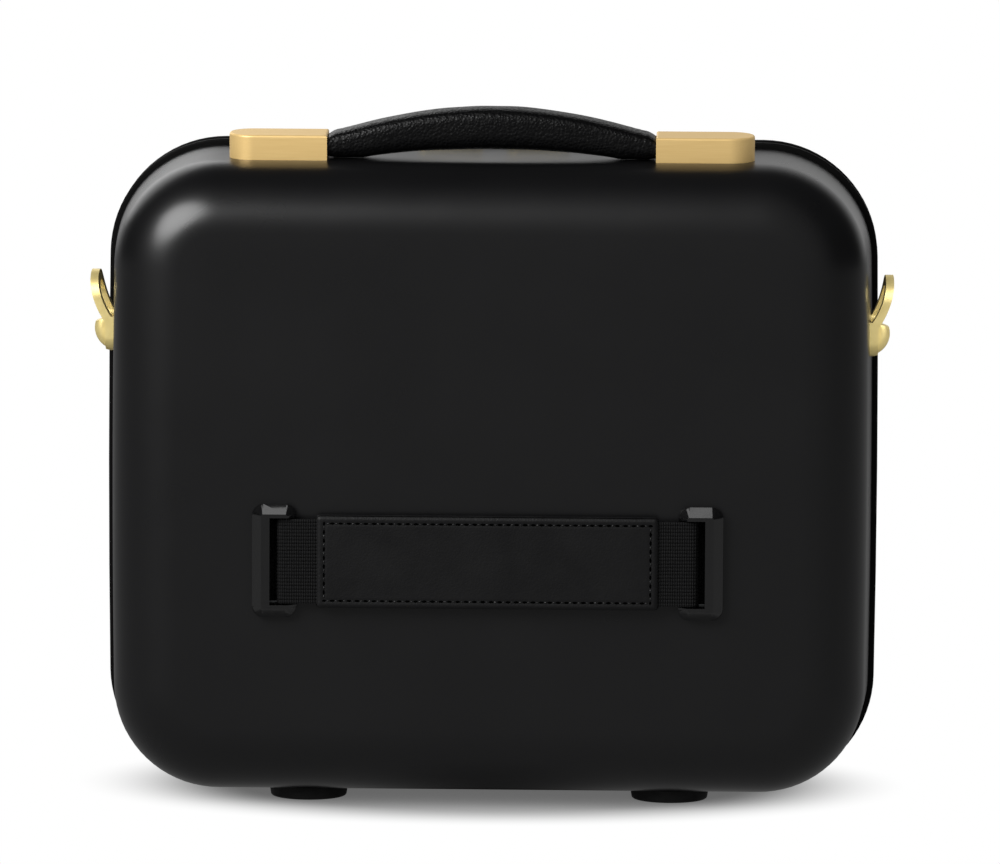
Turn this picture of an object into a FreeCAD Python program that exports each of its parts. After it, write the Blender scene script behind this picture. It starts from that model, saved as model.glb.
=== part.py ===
import FreeCAD, Part
import math
import os

V = FreeCAD.Vector
os.makedirs("parts", exist_ok=True)

# Hard-shell makeup train case, standing on its feet. Millimetres, +Z up, floor at Z = 0.
# The back of the case faces -Y. It is worked out about the parting plane (Y = 0) between the two shells,
# "depth" is the distance from that plane, and save() moves everything so that the origin is in the middle.

# Shells
shell_width = 345.0
shell_height = 289.7
shell_depth = 87.0
corner_radius = 50.0
face_edge_radius = 27.0
side_bow = 1.6
draft = math.radians(2.8)
wall = 2.2
ground_clearance = 2.6

# Rim beads and zip
zip_gap = 9.0
bead_width = 4.0
bead_proud = 2.1
bead_lip = 1.0
bead_groove = 3.0
bead_round = 0.9
tape_inset = 1.0
tape_thickness = 0.8
chain_gap = 1.0
chain_width = 1.5
chain_height = 2.4
zip_end_rise = 6.0

# Zip sliders and pulls
slider_length = 10.0
slider_width = 7.4
slider_plate = 1.0
slider_spacing = 17.0
slider_clearance = 0.3
slider_post_length = 2.5
slider_post_clearance = 0.12
slider_lip = 0.9
crown_length = 6.4
crown_width = 2.6
crown_rise = 1.9
crown_wall = 0.9
pull_pin_radius = 0.8
pull_pin_clearance = 0.08
pull_length = 27.0
pull_tail = 1.2
pull_width = 8.4
pull_thickness = 1.6
pull_slot_width = 3.4
pull_window_round = 1.6
pull_hole_radius = 1.7

# Handle
handle_depth = 46.0
grip_span = 147.4
grip_width = 20.5
grip_end_underside = 1.0
grip_end_top = 9.6
grip_mid_underside = 5.6
grip_mid_top = 23.5
grip_arch_power = 1.5
grip_crown = 2.4
grip_end_crown = 1.2
grip_lower_round = 3.4
grip_insert = 9.0
grip_clearance = 0.5
grip_steps = 8
cap_length = 44.2
cap_depth = 23.5
cap_height = 11.2
cap_wall = 2.0
cap_end_radius = 11.0
cap_edge_round = 1.0
cap_post_radius = 3.0
cap_post_inner = 15.0
cap_post_spacing = 17.0
core_width = 13.0
core_thickness = 1.2
core_overrun = 10.0
core_slot_play = 5.0
backing_plate = 1.5
handle_plate_margin = 4.0

# Screws
screw_radius = 1.5
screw_clearance = 0.2
screw_head_radius = 2.9
screw_head_height = 1.3
screw_seat_slack = 0.1
handle_screw_bite = 6.0
eye_screw_bite = 3.2
anchor_screw_bite = 5.0
foot_screw_bite = 3.2

# Strap eyes
eye_depth = 30.0
eye_below_top = 91.4
eye_width = 24.0
eye_base_height = 13.0
eye_loop_rise = 23.2
eye_lean = math.radians(35.0)
eye_toe = math.radians(3.8)
eye_thickness = 3.6
eye_base_stand = 2.6
eye_rim = 4.8
eye_bottom_round = 6.0
eye_edge_round = 1.0
eye_screw_spacing = 9.0
eye_plate_margin = 2.0
lug_reach = 8.1
lug_height = 15.5
lug_width = 13.0
lug_top_fall = 2.7
lug_round = 4.0
lug_fullness = 0.74

# Trolley strap
strap_height = 113.0
strap_gap = 4.5
webbing_width = 38.0
webbing_thickness = 1.4
webbing_tail = 11.0
patch_length = 152.0
patch_height = 41.0
patch_front_thickness = 1.4
patch_back_thickness = 1.1
patch_corner = 1.2
anchor_span = 210.4
anchor_length = 20.0
anchor_height = 51.0
anchor_stand_out = 8.6
anchor_bar = 8.0
anchor_floor = 1.4
anchor_corner = 5.0
anchor_bevel = 4.2
anchor_side_play = 0.6
anchor_slot_width = 4.6
anchor_leg_play = 0.3
anchor_screw_edge = 3.1

# Feet
foot_spacing = 163.2
foot_depth = 43.0
foot_radius = 18.2
foot_taper = 1.2
foot_edge_round = 1.2

# Inside
lining_gap = 4.6
lining_thickness = 1.0
pocket_width = 236.0
pocket_height = 112.0
pocket_thickness = 1.4
pocket_corner = 14.0
pocket_rise = 38.0
hem_height = 10.0
hem_thickness = 2.6
mirror_width = 176.0
mirror_height = 126.0
mirror_thickness = 2.0
mirror_corner = 10.0
frame_border = 13.0
frame_lap = 3.0
frame_thickness = 3.4

# Values worked out from the sizes above
half_width = shell_width / 2
half_height = shell_height / 2
mid_z = ground_clearance + half_height
top_z = ground_clearance + shell_height
taper = math.tan(draft)
bow_radius = (half_height ** 2 + side_bow ** 2) / (2 * side_bow)
side_centre_x = half_width - bow_radius
corner_z = half_height - corner_radius
corner_x = side_centre_x + math.sqrt((bow_radius - corner_radius) ** 2 - corner_z ** 2)
side_angle = math.atan2(corner_z, corner_x - side_centre_x)
bead_near = zip_gap / 2
bead_far = bead_near + bead_width
shell_edge = bead_far - bead_groove
chain_near = chain_gap / 2
chain_far = chain_near + chain_width
lining_skin = wall + lining_gap
lining_inner_face = shell_depth - lining_skin - lining_thickness
strap_stack = patch_back_thickness + webbing_thickness + patch_front_thickness
strap_stand_out = max(anchor_stand_out, strap_gap + strap_stack)
parting_y = strap_stand_out / 2


def polar(centre_x, centre_z, radius, angle, y):
    return V(centre_x + radius * math.cos(angle), y, centre_z + radius * math.sin(angle))


# Outline of the case seen from the back: flat top and bottom, swelling sides, round corners.
# Every inset outline keeps the same arc centres, so walls and rims stay parallel.
def outline(inset, y):
    radius = corner_radius - inset
    mid_angle = (math.pi / 2 + side_angle) / 2
    side = bow_radius - inset
    edges = []
    corners = []
    for sx, sz in ((1, 1), (1, -1), (-1, -1), (-1, 1)):
        points = []
        for angle in (math.pi / 2, mid_angle, side_angle):
            p = polar(corner_x, corner_z, radius, angle, y)
            points.append(V(sx * p.x, y, mid_z + sz * p.z))
        corners.append(points)
    for points in corners:
        edges.append(Part.Arc(*points).toShape())
    for upper, lower, sx in ((corners[0], corners[1], 1), (corners[3], corners[2], -1)):
        bulge = V(sx * (side_centre_x + side), y, mid_z)
        edges.append(Part.Arc(upper[2], bulge, lower[2]).toShape())
    edges.append(Part.LineSegment(corners[3][0], corners[0][0]).toShape())
    edges.append(Part.LineSegment(corners[1][0], corners[2][0]).toShape())
    return Part.Wire(Part.__sortEdges__(edges))


# Straight ring round the case between two depths and two insets
def ring(near, far, outer_inset, inner_inset):
    outer = Part.Face(outline(outer_inset, -near)).extrude(V(0, near - far, 0))
    inner = Part.Face(outline(inner_inset, -near)).extrude(V(0, near - far, 0))
    return outer.cut(inner)


# Solid that fills a shell: drafted sides and a flat face with a large round edge,
# lying a given skin inside the outer surface of the case
def block(skin, open_depth):
    face_depth = shell_depth - skin
    rim = outline(skin + open_depth * taper, -open_depth)
    face = outline(skin + face_depth * taper, -face_depth)
    solid = Part.makeLoft([rim, face], True, True)
    edges = [e for e in solid.Edges if abs(e.CenterOfMass.y + face_depth) < 1e-6]
    return solid.makeFillet(face_edge_radius - skin, edges)


# Even layer that follows the shell between two skins
def layer(outer_skin, inner_skin, open_depth):
    return block(outer_skin, open_depth).cut(block(inner_skin, 0.0))


def box(x0, x1, y0, y1, z0, z1):
    return Part.makeBox(x1 - x0, y1 - y0, z1 - z0, V(x0, y0, z0))


def edges_along(shape, axis):
    found = []
    for e in shape.Edges:
        d = e.Vertexes[-1].Point - e.Vertexes[0].Point
        if d.Length > 1e-6 and abs(abs(d.normalize().dot(axis)) - 1) < 1e-6:
            found.append(e)
    return found


def rounded_box(x0, x1, y0, y1, z0, z1, radius, axis):
    solid = box(x0, x1, y0, y1, z0, z1)
    return solid.makeFillet(radius, edges_along(solid, axis))


def edges_at(shape, test):
    return [e for e in shape.Edges if test(e.CenterOfMass)]


def mirrored_x(shape):
    return shape.mirror(V(0, 0, 0), V(1, 0, 0))


def mirrored_y(shape):
    return shape.mirror(V(0, 0, 0), V(0, 1, 0))


def single(shape):
    return shape.Solids[0] if len(shape.Solids) == 1 else shape


def save(name, shape):
    moved = single(shape.removeSplitter()).copy()
    moved.translate(V(0, parting_y, 0))
    moved.exportStep("parts/%s.step" % name)


def save_group(name, shapes):
    moved = [s.translated(V(0, parting_y, 0)) for s in shapes]
    Part.makeCompound(moved).exportStep("parts/%s.step" % name)


# Screw from inside the case: the head sits on a seat and the shank points outwards
def screw(seat, direction, length):
    shank = Part.makeCylinder(screw_radius, length, seat, direction)
    back = V(direction).multiply(-screw_head_height)
    head = Part.makeCylinder(screw_head_radius, screw_head_height, seat + back, direction)
    return shank.fuse(head).removeSplitter()


def screw_hole(seat, direction, length):
    start = seat - V(direction).multiply(length)
    return Part.makeCylinder(screw_radius + screw_clearance, 2 * length, start, direction)


shell_solid = block(0.0, shell_edge)
plain_shell = layer(0.0, wall, shell_edge)


def surface_top(depth):
    return top_z - depth * taper


def surface_side(depth, z):
    side = bow_radius - depth * taper
    return side_centre_x + math.sqrt(side ** 2 - (z - mid_z) ** 2)


# Directions square to the drafted top, bottom and right side of the back shell
up = V(0, 0, 1)
outwards = V(1, 0, 0)
top_out = V(0, -math.sin(draft), math.cos(draft))
bottom_out = V(0, -math.sin(draft), -math.cos(draft))
side_out = V(math.cos(draft), -math.sin(draft), 0)


# Place under the surface at which a screw's head sits, with the given stack between them
def screw_seat(surface, direction, stack):
    return surface - V(direction).multiply(stack + screw_seat_slack)


# Feet: tapered discs that follow the shell above them, each held by a screw from inside
def foot(sx):
    base = V(sx * foot_spacing / 2, -foot_depth, 0)
    tall = ground_clearance + (foot_depth + foot_radius) * taper + wall
    disc = Part.makeCone(foot_radius - foot_taper, foot_radius, tall, base, V(0, 0, 1))
    disc = disc.makeFillet(foot_edge_round, edges_at(disc, lambda c: abs(c.z) < 1e-6))
    return disc.cut(shell_solid)


def foot_screw_seat(sx):
    surface = V(sx * foot_spacing / 2, -foot_depth, ground_clearance + foot_depth * taper)
    return screw_seat(surface, bottom_out, wall)


foot_screw_length = wall + foot_screw_bite
foot_screws = [screw(foot_screw_seat(sx), bottom_out, foot_screw_length) for sx in (-1, 1)]
foot_holes = [screw_hole(foot_screw_seat(sx), bottom_out, 3 * wall) for sx in (-1, 1)]
feet = {}
for side_name, sx in (("left", -1), ("right", 1)):
    feet[side_name] = foot(sx)
    for s in foot_screws:
        feet[side_name] = feet[side_name].cut(s)

# Handle caps: hollow mouldings with a round outer end, a mouth for the grip and two screw posts
cap_inner_x = grip_span / 2
cap_outer_x = cap_inner_x + cap_length
cap_y0 = -handle_depth - cap_depth / 2
cap_y1 = -handle_depth + cap_depth / 2
seat_z = surface_top(handle_depth)
cap_top_z = seat_z + cap_height
post_xs = (cap_inner_x + cap_post_inner, cap_inner_x + cap_post_inner + cap_post_spacing)


# The handle is worked out upright, and this turns it square to the drafted top of the shell
def seated(shape):
    turned = shape.copy()
    turned.rotate(V(0, -handle_depth, seat_z), outwards, math.degrees(draft))
    return turned


def grip_section(x, underside, crest, crown, grow):
    half = grip_width / 2 + grow
    low = seat_z + underside - grow
    shoulder = seat_z + crest - crown + grow
    r = grip_lower_round + grow
    k = r * (1 - math.sqrt(0.5))
    y = -handle_depth
    edges = [
        Part.LineSegment(V(x, y - half + r, low), V(x, y + half - r, low)).toShape(),
        Part.Arc(V(x, y + half - r, low), V(x, y + half - k, low + k), V(x, y + half, low + r)).toShape(),
        Part.LineSegment(V(x, y + half, low + r), V(x, y + half, shoulder)).toShape(),
        Part.Arc(V(x, y + half, shoulder), V(x, y, shoulder + crown), V(x, y - half, shoulder)).toShape(),
        Part.LineSegment(V(x, y - half, shoulder), V(x, y - half, low + r)).toShape(),
        Part.Arc(V(x, y - half, low + r), V(x, y - half + k, low + k), V(x, y - half + r, low)).toShape(),
    ]
    return Part.Wire(edges)


def arch(x, end, middle):
    return end + (middle - end) * (1 - (x / cap_inner_x) ** 2) ** grip_arch_power


def grip_end(x0, x1, grow):
    wire = grip_section(x0, grip_end_underside, grip_end_top, grip_end_crown, grow)
    return Part.Face(wire).extrude(V(x1 - x0, 0, 0))


grip_wires = []
for i in range(grip_steps + 1):
    x = cap_inner_x * (2 * i / grip_steps - 1)
    under = arch(x, grip_end_underside, grip_mid_underside)
    crest = arch(x, grip_end_top, grip_mid_top)
    crown = arch(x, grip_end_crown, grip_crown)
    grip_wires.append(grip_section(x, under, crest, crown, 0.0))
grip = Part.makeLoft(grip_wires, True, False)
for sx in (-1, 1):
    grip = grip.fuse(grip_end(sx * cap_inner_x, sx * (cap_inner_x + grip_insert), 0.0))

# Spring-steel core: an arched strip whose slotted ends slide on the inner posts of the caps
core_end_z = seat_z + (grip_end_underside + grip_end_top) / 2
core_mid_z = seat_z + (grip_mid_underside + grip_mid_top) / 2
core_end_x = post_xs[0] + core_overrun
core_y0 = -handle_depth - core_width / 2


def core_arc(lift):
    start = V(-cap_inner_x, core_y0, core_end_z + lift)
    middle = V(0, core_y0, core_mid_z + lift)
    return Part.Arc(start, middle, V(cap_inner_x, core_y0, core_end_z + lift)).toShape()


low_arc = core_arc(-core_thickness / 2)
high_arc = core_arc(core_thickness / 2)
ends = []
for i in (0, -1):
    ends.append(Part.LineSegment(low_arc.Vertexes[i].Point, high_arc.Vertexes[i].Point).toShape())
core_face = Part.Face(Part.Wire(Part.__sortEdges__([low_arc, high_arc] + ends)))
core = core_face.extrude(V(0, core_width, 0))
for sx in (-1, 1):
    x0, x1 = sorted((sx * cap_inner_x, sx * core_end_x))
    tab = box(x0, x1, core_y0, core_y0 + core_width,
              core_end_z - core_thickness / 2, core_end_z + core_thickness / 2)
    slot_radius = cap_post_radius + 2 * screw_clearance
    slot_x0, slot_x1 = sorted((sx * (post_xs[0] - core_slot_play), sx * post_xs[0]))
    slot_z = core_end_z - core_thickness
    slot = box(slot_x0, slot_x1, -handle_depth - slot_radius, -handle_depth + slot_radius,
               slot_z, slot_z + 2 * core_thickness)
    for slot_x in (slot_x0, slot_x1):
        round_end = Part.makeCylinder(slot_radius, 2 * core_thickness, V(slot_x, -handle_depth, slot_z))
        slot = slot.fuse(round_end)
    core = core.fuse(tab.cut(slot))
grip = grip.cut(core)


def handle_screw_seat(x):
    return screw_seat(V(x, -handle_depth, seat_z), top_out, wall + backing_plate)


handle_screw_length = wall + backing_plate + handle_screw_bite
handle_seats = [handle_screw_seat(sx * x) for sx in (-1, 1) for x in post_xs]
handle_screws = [screw(seat, top_out, handle_screw_length) for seat in handle_seats]
handle_holes = [screw_hole(seat, top_out, 3 * wall) for seat in handle_seats]


def handle_cap():
    low = seat_z - 2 * wall
    cap = box(cap_inner_x, cap_outer_x, cap_y0, cap_y1, low, cap_top_z)
    ends = [e for e in edges_along(cap, up) if abs(e.CenterOfMass.x - cap_outer_x) < 1e-6]
    cap = cap.makeFillet(cap_end_radius, ends)
    cap = cap.makeFillet(cap_edge_round, edges_at(cap, lambda c: abs(c.z - cap_top_z) < 1e-6))
    hollow = box(cap_inner_x + cap_wall, cap_outer_x - cap_wall, cap_y0 + cap_wall, cap_y1 - cap_wall,
                 low, cap_top_z - cap_wall)
    ends = [e for e in edges_along(hollow, up) if abs(e.CenterOfMass.x - cap_outer_x + cap_wall) < 1e-6]
    cap = cap.cut(hollow.makeFillet(cap_end_radius - cap_wall, ends))
    mouth_x1 = cap_inner_x + grip_insert + grip_clearance
    cap = cap.cut(grip_end(cap_inner_x - cap_wall, mouth_x1, grip_clearance))
    for x in post_xs:
        post = Part.makeCylinder(cap_post_radius, cap_top_z - cap_wall - low, V(x, -handle_depth, low), up)
        cap = cap.fuse(post)
    cap = seated(cap).cut(shell_solid)
    for s in handle_screws:
        cap = cap.cut(s)
    return cap


cap_right = handle_cap()
handle_plate_x = cap_outer_x - cap_wall + handle_plate_margin
handle_plate = layer(wall, wall + backing_plate, 0.0).common(
    box(-handle_plate_x, handle_plate_x, cap_y0 - handle_plate_margin, cap_y1 + handle_plate_margin,
        top_z - corner_radius, top_z))
for hole in handle_holes:
    handle_plate = handle_plate.cut(hole)

# Strap eyes: a cast loop that curves out from a base on the side of the shell, with a round lug below it.
# Each is worked out square to the axes, and side_seated() toes its near edge out.
eye_low = top_z - eye_below_top
eye_base_mid = eye_low + eye_base_height / 2
eye_x = surface_side(eye_depth, eye_base_mid)
eye_kink = eye_low + eye_base_height
eye_high = eye_kink + eye_loop_rise
eye_y0 = -eye_depth - eye_width / 2
eye_y1 = -eye_depth + eye_width / 2
eye_out_x = eye_x + eye_base_stand
eye_bend = eye_loop_rise / math.sin(eye_lean)
eye_bend_x = eye_out_x - eye_bend * math.cos(eye_lean)
eye_reach = eye_bend_x + eye_bend


def side_seated(shape):
    turned = shape.copy()
    turned.rotate(V(eye_x, -eye_depth, 0), up, math.degrees(eye_toe))
    return turned


def loop_prism(margin, low):
    half = eye_width / 2 - margin
    high = eye_high - margin
    y = -eye_depth
    x0 = eye_x - 2 * wall
    edges = [
        Part.LineSegment(V(x0, y - half, low), V(x0, y + half, low)).toShape(),
        Part.LineSegment(V(x0, y + half, low), V(x0, y + half, high - half)).toShape(),
        Part.Arc(V(x0, y + half, high - half), V(x0, y, high), V(x0, y - half, high - half)).toShape(),
        Part.LineSegment(V(x0, y - half, high - half), V(x0, y - half, low)).toShape(),
    ]
    prism = Part.Face(Part.Wire(edges)).extrude(V(eye_reach - x0, 0, 0))
    corners = [e for e in edges_along(prism, outwards) if abs(e.CenterOfMass.z - low) < 1e-6]
    return prism.makeFillet(eye_bottom_round * half / (eye_width / 2), corners)


# Arc in the loop's bend, from the tip down to the given angle
def bend_arc(radius, angle):
    points = [polar(eye_bend_x, eye_high, radius, -angle * t, eye_y0) for t in (0, 0.5, 1)]
    return Part.Arc(*points).toShape()


def strap_eye():
    inner_bend = eye_bend - eye_thickness
    inner_angle = math.acos((eye_x - eye_bend_x) / inner_bend)
    outer_arc = bend_arc(eye_bend, eye_lean)
    inner_arc = bend_arc(inner_bend, inner_angle)
    inner_kink = eye_high - inner_bend * math.sin(inner_angle)
    buried = eye_x - 2 * wall
    points = [V(eye_x, eye_y0, inner_kink), V(buried, eye_y0, inner_kink), V(buried, eye_y0, eye_low),
              V(eye_out_x, eye_y0, eye_low), V(eye_out_x, eye_y0, eye_kink)]
    inner_tip = V(eye_reach - eye_thickness, eye_y0, eye_high)
    edges = [outer_arc, inner_arc, Part.LineSegment(inner_tip, V(eye_reach, eye_y0, eye_high)).toShape()]
    for start, end in zip(points, points[1:]):
        edges.append(Part.LineSegment(start, end).toShape())
    band = Part.Face(Part.Wire(Part.__sortEdges__(edges))).extrude(V(0, eye_width, 0))
    band = band.common(loop_prism(0.0, eye_low))
    band = band.cut(loop_prism(eye_rim, eye_kink + eye_edge_round))
    lug_tip_z = eye_low + lug_height - lug_top_fall
    low = V(eye_x, eye_y0, eye_low)
    belly = V(eye_x + lug_reach * lug_fullness, eye_y0, lug_tip_z - (lug_tip_z - eye_low) * lug_fullness)
    tip = V(eye_x + lug_reach, eye_y0, lug_tip_z)
    lug_arc = Part.Arc(low, belly, tip).toShape()
    under = V(tip.x, eye_y0, eye_low)
    spare = Part.Face(Part.Wire([lug_arc, Part.LineSegment(tip, under).toShape(),
                                 Part.LineSegment(under, low).toShape()]))
    band = band.cut(spare.extrude(V(0, eye_width, 0)))
    top = V(eye_x, eye_y0, eye_low + lug_height)
    lug = Part.Face(Part.Wire([lug_arc, Part.LineSegment(tip, top).toShape(),
                               Part.LineSegment(top, low).toShape()])).extrude(V(0, lug_width, 0))
    lug = lug.makeFillet(lug_round, [e for e in lug.Edges if e.Curve.TypeId == "Part::GeomCircle"])
    lug.translate(V(0, (eye_width - lug_width) / 2, 0))
    return side_seated(band.fuse(lug)).cut(shell_solid).removeSplitter()


eye_seat = screw_seat(V(eye_x, -eye_depth, eye_base_mid), side_out, wall + backing_plate)
eye_screw_length = wall + backing_plate + eye_screw_bite
eye_screws = []
eye_holes = []
for sy in (-1, 1):
    along_side = V(math.sin(draft), math.cos(draft), 0).multiply(sy * eye_screw_spacing / 2)
    eye_screws.append(screw(eye_seat + along_side, side_out, eye_screw_length))
    eye_holes.append(screw_hole(eye_seat + along_side, side_out, 3 * wall))
eye_right = strap_eye()
for s in eye_screws:
    eye_right = eye_right.cut(s)
eye_plate = layer(wall, wall + backing_plate, 0.0).common(
    box(eye_x - corner_radius, eye_x, eye_y0 - eye_plate_margin, eye_y1 + eye_plate_margin,
        eye_low - eye_plate_margin, eye_kink + eye_plate_margin))
for hole in eye_holes:
    eye_plate = eye_plate.cut(hole)

# Trolley strap: elastic webbing between two moulded anchors, with a leather patch sewn round its middle
face_y = -shell_depth
anchor_outer_x = anchor_span / 2
anchor_inner_x = anchor_outer_x - anchor_length
bar_inner_x = anchor_outer_x - anchor_bar
slot_inner_x = bar_inner_x - anchor_slot_width
leg_x0 = slot_inner_x + anchor_leg_play
leg_x1 = leg_x0 + webbing_thickness
channel_half = webbing_width / 2 + anchor_side_play
web_low = strap_gap + patch_back_thickness
web_high = web_low + webbing_thickness
anchor_screw_x = anchor_outer_x - anchor_bar / 2
anchor_screw_z = anchor_height / 2 - anchor_screw_edge
backwards = V(0, -1, 0)


def strap_anchor():
    z0 = strap_height - anchor_height / 2
    z1 = strap_height + anchor_height / 2
    front_y = face_y - anchor_stand_out
    body = rounded_box(anchor_inner_x, anchor_outer_x, front_y, face_y, z0, z1, anchor_corner, V(0, 1, 0))
    body = body.makeChamfer(anchor_bevel, edges_at(body, lambda c: abs(c.y - front_y) < 1e-6))
    channel = box(anchor_inner_x - anchor_length, bar_inner_x,
                  front_y - anchor_floor, face_y - anchor_floor,
                  strap_height - channel_half, strap_height + channel_half)
    slot = box(slot_inner_x, bar_inner_x, front_y, face_y + wall,
               strap_height - channel_half, strap_height + channel_half)
    return body.cut(channel).cut(slot)


def strap_webbing():
    z0 = strap_height - webbing_width / 2
    z1 = strap_height + webbing_width / 2
    web = box(-leg_x1, leg_x1, face_y - web_high, face_y - web_low, z0, z1)
    inner = face_y + wall
    for sx in (-1, 1):
        x0, x1 = sorted((sx * leg_x0, sx * leg_x1))
        leg = box(x0, x1, face_y - web_low, inner + webbing_thickness, z0, z1)
        x0, x1 = sorted((sx * leg_x1, sx * (leg_x1 + webbing_tail)))
        tail = box(x0, x1, inner, inner + webbing_thickness, z0, z1)
        web = web.fuse(leg).fuse(tail)
    web = web.removeSplitter()
    bends = edges_at(web, lambda c: abs(abs(c.x) - leg_x1) < 1e-6 and abs(c.y - face_y + web_high) < 1e-6)
    return web.makeFillet(webbing_thickness, bends)


anchor_screw_seats = []
for sz in (-1, 1):
    seat_y = face_y + wall + webbing_thickness + backing_plate
    anchor_screw_seats.append(V(anchor_screw_x, seat_y, strap_height + sz * anchor_screw_z))
anchor_screw_length = backing_plate + webbing_thickness + wall + anchor_screw_bite
anchor_screws = [screw(s, backwards, anchor_screw_length) for s in anchor_screw_seats]
anchor_holes = [screw_hole(s, backwards, 3 * wall) for s in anchor_screw_seats]
anchor_right = strap_anchor()
for s in anchor_screws:
    anchor_right = anchor_right.cut(s)
clamp_y = face_y + wall + webbing_thickness
clamp_right = rounded_box(leg_x1 + screw_clearance, anchor_outer_x + screw_head_radius,
                          clamp_y, clamp_y + backing_plate,
                          strap_height - anchor_height / 2, strap_height + anchor_height / 2,
                          screw_head_radius, V(0, 1, 0))
for hole in anchor_holes:
    clamp_right = clamp_right.cut(hole)
webbing = strap_webbing()


def patch(near, thickness):
    return rounded_box(-patch_length / 2, patch_length / 2, face_y - near - thickness, face_y - near,
                       strap_height - patch_height / 2, strap_height + patch_height / 2,
                       patch_corner, V(0, 1, 0))


patch_back = patch(strap_gap, patch_back_thickness)
patch_front = patch(web_high, patch_front_thickness)

# Shells: the back one is cut for the screws and for the webbing, the front one for its foot screws only
back_shell = plain_shell
for hole in foot_holes + handle_holes:
    back_shell = back_shell.cut(hole)
for hole in eye_holes + anchor_holes:
    back_shell = back_shell.cut(hole).cut(mirrored_x(hole))
for sx in (-1, 1):
    x0, x1 = sorted((sx * slot_inner_x, sx * bar_inner_x))
    back_shell = back_shell.cut(box(x0, x1, face_y - wall, face_y + 2 * wall,
                                    strap_height - channel_half, strap_height + channel_half))
front_shell = plain_shell
for hole in foot_holes:
    front_shell = front_shell.cut(hole)

# Rim bead: a round-edged trim with a groove that takes the edge of the shell
bead = ring(bead_near, bead_far, -bead_proud, wall + bead_lip)
outer_rim = []
for e in bead.Edges:
    span = e.BoundBox
    level = span.ZMax > top_z + bead_proud / 2 or span.ZMin < ground_clearance
    upright = max(abs(span.XMin), abs(span.XMax)) > half_width + bead_proud / 2
    if span.YLength < 1e-6 and (level or upright):
        outer_rim.append(e)
bead = bead.makeFillet(bead_round, outer_rim).cut(plain_shell)

# Zip: tape and chain on each side of the parting plane, ending at the bottom where the hinge tape runs
zip_floor = box(-shell_width, shell_width, -zip_gap, zip_gap, 0, ground_clearance + zip_end_rise)
tape_in = tape_inset - tape_thickness / 2
tape = ring(chain_far, bead_near, tape_in, tape_in + tape_thickness).cut(zip_floor)
chain_in = tape_inset - chain_height / 2
chain = ring(chain_near, chain_far, chain_in, chain_in + chain_height).cut(zip_floor)
hinge_tape = ring(-bead_near, bead_near, tape_in, tape_in + tape_thickness).common(zip_floor)

# Zip sliders: two plates joined by a post that runs between the chains, with a crown on top for the pull
chain_mid_z = top_z - tape_inset
plate_gap = chain_height / 2 + slider_clearance
slider_top_z = chain_mid_z + plate_gap + slider_plate
crown_z = slider_top_z + crown_rise
crown_top_radius = pull_pin_radius + pull_pin_clearance + crown_wall
slider_x = slider_spacing / 2


def zip_slider():
    x0 = slider_x - slider_length / 2
    x1 = slider_x + slider_length / 2
    half = slider_width / 2
    post_half = chain_gap / 2 - slider_post_clearance
    plates = []
    for z in (chain_mid_z + plate_gap, chain_mid_z - plate_gap - slider_plate):
        plate = rounded_box(x0, x1, -half, half, z, z + slider_plate, half / 2, up)
        plates.append(plate)
    body = plates[0].fuse(plates[1])
    post_reach = plate_gap + slider_plate / 2
    body = body.fuse(box(x0 + slider_plate, x0 + slider_plate + slider_post_length, -post_half, post_half,
                         chain_mid_z - post_reach, chain_mid_z + post_reach))
    lip_x0 = x0 + half / 2
    lip_x1 = x1 - half / 2
    lip_low = tape_thickness / 2 + slider_clearance
    for z0, z1 in ((lip_low, plate_gap), (-plate_gap, -lip_low)):
        body = body.fuse(box(lip_x0, lip_x1, -half, -half + slider_lip, chain_mid_z + z0, chain_mid_z + z1))
    crown_x0 = slider_x - crown_length / 2
    crown = box(crown_x0, crown_x0 + crown_length, -crown_width / 2, crown_width / 2,
                slider_top_z - slider_plate / 2, crown_z + crown_top_radius)
    shoulders = [e for e in edges_along(crown, V(0, 1, 0)) if e.CenterOfMass.z > crown_z]
    crown = crown.makeFillet(crown_top_radius, shoulders)
    eye = Part.makeCylinder(pull_pin_radius + pull_pin_clearance, slider_width,
                            V(slider_x, -half, crown_z), V(0, 1, 0))
    return body.fuse(crown).cut(eye).removeSplitter()


def zip_pull():
    z0 = crown_z - pull_thickness / 2
    z1 = crown_z + pull_thickness / 2
    tail = slider_x - pull_tail
    blade = rounded_box(tail, tail + pull_length, -pull_width / 2, pull_width / 2, z0, z1,
                        pull_width / 3, up)
    window = rounded_box(slider_x - crown_length, slider_x + crown_length / 2 + pull_thickness,
                         -pull_slot_width / 2, pull_slot_width / 2, z0, z1, pull_window_round, up)
    hole_x = tail + pull_length - pull_width / 2
    hole = Part.makeCylinder(pull_hole_radius, pull_thickness, V(hole_x, 0, z0), up)
    pin = Part.makeCylinder(pull_pin_radius, pull_slot_width + pull_thickness,
                            V(slider_x, -(pull_slot_width + pull_thickness) / 2, crown_z), V(0, 1, 0))
    return blade.cut(window).cut(hole).fuse(pin).removeSplitter()


# Lining: a fabric tray inside each shell, with a flange sewn to the lip of the bead
flange_near = bead_far - lining_thickness
lining = layer(lining_skin, lining_skin + lining_thickness, flange_near)
lining = lining.fuse(ring(flange_near, bead_far, wall + bead_lip, lining_skin + lining_thickness))

# Elastic pocket on the back wall of the base
pocket_low = ground_clearance + lining_skin + pocket_rise
pocket_high = pocket_low + pocket_height
pocket_y = -lining_inner_face
pocket = rounded_box(-pocket_width / 2, pocket_width / 2, pocket_y, pocket_y + pocket_thickness,
                     pocket_low, pocket_high, pocket_corner, V(0, 1, 0))
pocket_hem = rounded_box(-pocket_width / 2, pocket_width / 2, pocket_y, pocket_y + hem_thickness,
                         pocket_high - hem_height, pocket_high, hem_thickness, V(0, 1, 0))
pocket = pocket.fuse(pocket_hem)

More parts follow.
